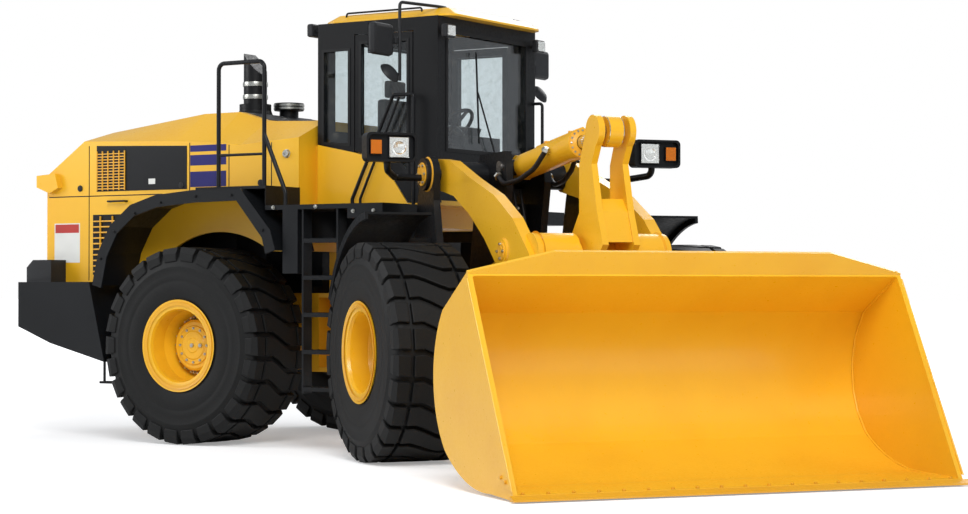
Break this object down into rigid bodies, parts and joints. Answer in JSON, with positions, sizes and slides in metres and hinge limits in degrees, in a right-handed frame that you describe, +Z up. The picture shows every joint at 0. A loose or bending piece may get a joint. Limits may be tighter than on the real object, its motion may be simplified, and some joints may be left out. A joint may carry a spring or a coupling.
{
  "type": "articulated wheel loader",
  "caption": "Articulated wheel loader with a cab, a Z-bar lift arm, a general purpose bucket, steering hitch and large earthmover tyres.",
  "frame": {"origin": "the steering (articulation) axis where it meets the ground", "axes": "+X forward along the rear frame, +Y to the machine's left, +Z up; the front frame is parked turned to the right"},
  "size_m": [9.481, 6.125, 3.8104],
  "materials": {
    "air_intake": "satin",
    "bellcrank": "gloss",
    "boom": "gloss",
    "bucket": "gloss",
    "bucket_pins": "satin",
    "cab_base": "gloss",
    "cab_glass": "gloss",
    "cab_roof": "gloss",
    "cab_shell": "satin",
    "console": "matte",
    "control_valve": "satin",
    "counterweight": "satin",
    "crank_pin": "satin",
    "cutting_edge": "satin",
    "decks": "satin",
    "door": "satin",
    "door_glass": "gloss",
    "engine_and_transmission": "satin",
    "exhaust_stack": "satin",
    "front_axle": "gloss",
    "front_fenders": "satin",
    "front_frame": "gloss",
    "handrails": "satin",
    "headlamps": "satin",
    "hitch_pins": "satin",
    "hood": "gloss",
    "ladders": "satin",
    "lift_cylinder_barrels": "gloss",
    "lift_cylinder_rods": "polished",
    "lift_tower": "satin",
    "link_pin": "satin",
    "mirrors": "satin",
    "rear_axle": "gloss",
    "rear_fenders": "satin",
    "rear_frame": "gloss",
    "rear_grille": "satin",
    "rear_lamps": "satin",
    "rim_front_left": "gloss",
    "rim_front_right": "gloss",
    "rim_rear_left": "gloss",
    "rim_rear_right": "gloss",
    "seat": "matte",
    "side_panel": "satin",
    "steer_barrel_left": "gloss",
    "steer_barrel_right": "gloss",
    "steer_rod_left": "polished",
    "steer_rod_right": "polished",
    "steering_wheel": "matte",
    "tilt_base_pin": "satin",
    "tilt_cylinder_barrel": "gloss",
    "tilt_cylinder_rod": "polished",
    "tilt_link": "gloss",
    "tyre_front_left": "matte",
    "tyre_front_right": "matte",
    "tyre_rear_left": "matte",
    "tyre_rear_right": "matte"
  },
  "bodies": {
    "rear_body": {"rear_frame": "rear_frame", "rear_axle": "rear_axle", "engine_and_transmission": "engine_and_transmission", "counterweight": "counterweight", "hood": "hood", "rear_grille": "rear_grille", "exhaust_stack": "exhaust_stack", "air_intake": "air_intake", "rear_fenders": "rear_fenders", "decks": "decks", "ladders": "ladders", "cab_base": "cab_base", "cab_shell": "cab_shell", "cab_roof": "cab_roof", "cab_glass": "cab_glass", "side_panel": "side_panel", "seat": "seat", "console": "console", "steering_wheel": "steering_wheel", "mirrors": "mirrors", "handrails": "handrails", "rear_lamps": "rear_lamps"},
    "door_leaf": {"door": "door", "door_glass": "door_glass"},
    "front_body": {"front_frame": "front_frame", "lift_tower": "lift_tower", "control_valve": "control_valve", "hitch_pins": "hitch_pins", "front_axle": "front_axle", "front_fenders": "front_fenders", "headlamps": "headlamps"},
    "wheel_rear_right": {"tyre_rear_right": "tyre_rear_right", "rim_rear_right": "rim_rear_right"},
    "wheel_rear_left": {"tyre_rear_left": "tyre_rear_left", "rim_rear_left": "rim_rear_left"},
    "wheel_front_right": {"tyre_front_right": "tyre_front_right", "rim_front_right": "rim_front_right"},
    "wheel_front_left": {"tyre_front_left": "tyre_front_left", "rim_front_left": "rim_front_left"},
    "boom_body": {"boom": "boom"},
    "hinge_pins": {"bucket_pins": "bucket_pins"},
    "bucket_body": {"bucket": "bucket", "cutting_edge": "cutting_edge"},
    "crank_shaft": {"crank_pin": "crank_pin"},
    "crank_body": {"bellcrank": "bellcrank"},
    "link_shaft": {"link_pin": "link_pin"},
    "link_body": {"tilt_link": "tilt_link"},
    "tilt_base_shaft": {"tilt_base_pin": "tilt_base_pin"},
    "tilt_barrel": {"tilt_cylinder_barrel": "tilt_cylinder_barrel"},
    "tilt_rod": {"tilt_cylinder_rod": "tilt_cylinder_rod"},
    "lift_barrels": {"lift_cylinder_barrels": "lift_cylinder_barrels"},
    "lift_rods": {"lift_cylinder_rods": "lift_cylinder_rods"},
    "steer_barrel_right_body": {"steer_barrel_right": "steer_barrel_right"},
    "steer_rod_right_body": {"steer_rod_right": "steer_rod_right"},
    "steer_barrel_left_body": {"steer_barrel_left": "steer_barrel_left"},
    "steer_rod_left_body": {"steer_rod_left": "steer_rod_left"}
  },
  "joints": [
    {"name": "steer", "type": "hinge", "parent": "rear_body", "child": "front_body", "pos_m": [0, 0, 1.06], "axis": [0, 0, 1], "range_deg": [-2.5, 73.5]},
    {"name": "wheel_rear_right_roll", "type": "hinge", "parent": "rear_body", "child": "wheel_rear_right", "pos_m": [-1.89, -1.2, 0.87], "axis": [0, 1, 0], "continuous": true},
    {"name": "wheel_front_right_roll", "type": "hinge", "parent": "front_body", "child": "wheel_front_right", "pos_m": [0.84183, -2.07447, 0.87], "axis": [0.5807, 0.8141, 0], "continuous": true},
    {"name": "wheel_rear_left_roll", "type": "hinge", "parent": "rear_body", "child": "wheel_rear_left", "pos_m": [-1.89, 1.2, 0.87], "axis": [0, 1, 0], "continuous": true},
    {"name": "wheel_front_left_roll", "type": "hinge", "parent": "front_body", "child": "wheel_front_left", "pos_m": [2.23552, -0.12059, 0.87], "axis": [0.5807, 0.8141, 0], "continuous": true},
    {"name": "door_swing", "type": "hinge", "parent": "rear_body", "child": "door_leaf", "pos_m": [-0.555, 0.822, 2.9], "axis": [0, 0, 1], "range_deg": [0, 100]},
    {"name": "boom_lift", "type": "hinge", "parent": "front_body", "child": "boom_body", "pos_m": [0.93623, -0.66781, 2.32], "axis": [-0.5807, -0.8141, 0], "range_deg": [-3, 78.6]},
    {"name": "hinge_pin_turn", "type": "hinge", "parent": "boom_body", "child": "hinge_pins", "pos_m": [3.06107, -2.18344, 0.49], "axis": [-0.5807, -0.8141, 0], "range_deg": [-44.84, 1.9]},
    {"name": "bucket_tilt", "type": "hinge", "parent": "hinge_pins", "child": "bucket_body", "pos_m": [3.06107, -2.18344, 0.49], "axis": [-0.5807, -0.8141, 0], "range_deg": [-80, 42]},
    {"name": "crank_pin_turn", "type": "hinge", "parent": "boom_body", "child": "crank_shaft", "pos_m": [2.40164, -1.71307, 1.62], "axis": [-0.5807, -0.8141, 0], "range_deg": [-0.87, 17.73]},
    {"name": "bellcrank_turn", "type": "hinge", "parent": "crank_shaft", "child": "crank_body", "pos_m": [2.40164, -1.71307, 1.62], "axis": [-0.5807, -0.8141, 0], "range_deg": [-11.08, 20.92]},
    {"name": "link_pin_turn", "type": "hinge", "parent": "crank_body", "child": "link_shaft", "pos_m": [2.34465, -1.67243, 0.79], "axis": [-0.5807, -0.8141, 0], "range_deg": [-23.32, 12.34]},
    {"name": "tilt_link_turn", "type": "hinge", "parent": "link_shaft", "child": "link_body", "pos_m": [2.34465, -1.67243, 0.79], "axis": [-0.5807, -0.8141, 0], "range_deg": [-22.91, 1.07]},
    {"name": "tilt_base_turn", "type": "hinge", "parent": "front_body", "child": "tilt_base_shaft", "pos_m": [1.22117, -0.87105, 2.373], "axis": [-0.5807, -0.8141, 0], "range_deg": [-3.71, 92.08]},
    {"name": "tilt_barrel_turn", "type": "hinge", "parent": "tilt_base_shaft", "child": "tilt_barrel", "pos_m": [1.22117, -0.87105, 2.373], "axis": [-0.5807, -0.8141, 0], "range_deg": [-0.54, 0.84]},
    {"name": "tilt_rod_slide", "type": "slide", "parent": "tilt_barrel", "child": "tilt_rod", "axis": [0.8093, -0.5772, 0.109], "range_m": [-0.30259, 0.15934]},
    {"name": "lift_barrel_turn", "type": "hinge", "parent": "front_body", "child": "lift_barrels", "pos_m": [0.9688, -0.69104, 1.242], "axis": [-0.5807, -0.8141, 0], "range_deg": [-2.22, 53.17]},
    {"name": "lift_rod_slide", "type": "slide", "parent": "lift_barrels", "child": "lift_rods", "axis": [0.7782, -0.5551, 0.2938], "range_m": [-0.04437, 1.13734]},
    {"name": "steer_barrel_right_turn", "type": "hinge", "parent": "rear_body", "child": "steer_barrel_right_body", "pos_m": [-1, -0.3, 1.06], "axis": [0, 0, 1], "range_deg": [-0.81, 18.22]},
    {"name": "steer_rod_right_slide", "type": "slide", "parent": "steer_barrel_right_body", "child": "steer_rod_right_body", "axis": [0.9787, -0.2052, 0], "range_m": [-0.01789, 0.49745]},
    {"name": "steer_barrel_left_turn", "type": "hinge", "parent": "rear_body", "child": "steer_barrel_left_body", "pos_m": [-1, 0.3, 1.06], "axis": [0, 0, 1], "range_deg": [-0.88, 20.14]},
    {"name": "steer_rod_left_slide", "type": "slide", "parent": "steer_barrel_left_body", "child": "steer_rod_left_body", "axis": [0.9939, -0.1099, 0], "range_m": [-0.43968, 0.01592]}
  ],
  "couplings": [
    {"joint": "hinge_pin_turn", "follows": "boom_lift", "ratio": -0.568},
    {"joint": "crank_pin_turn", "follows": "boom_lift", "ratio": 0.223},
    {"joint": "bellcrank_turn", "follows": "bucket_tilt", "ratio": -0.259},
    {"joint": "link_pin_turn", "follows": "bucket_tilt", "ratio": 0.289},
    {"joint": "tilt_link_turn", "follows": "boom_lift", "ratio": -0.289},
    {"joint": "tilt_base_turn", "follows": "boom_lift", "ratio": 1.169},
    {"joint": "tilt_barrel_turn", "follows": "bucket_tilt", "ratio": -0.008},
    {"joint": "tilt_rod_slide", "follows": "bucket_tilt", "m_per_rad": 0.216},
    {"joint": "lift_barrel_turn", "follows": "boom_lift", "ratio": 0.67394},
    {"joint": "lift_rod_slide", "follows": "boom_lift", "m_per_rad": 0.82834},
    {"joint": "steer_barrel_right_turn", "follows": "steer", "ratio": 0.24515},
    {"joint": "steer_rod_right_slide", "follows": "steer", "m_per_rad": 0.387},
    {"joint": "steer_barrel_left_turn", "follows": "steer", "ratio": 0.27122},
    {"joint": "steer_rod_left_slide", "follows": "steer", "m_per_rad": -0.34197}
  ]
}
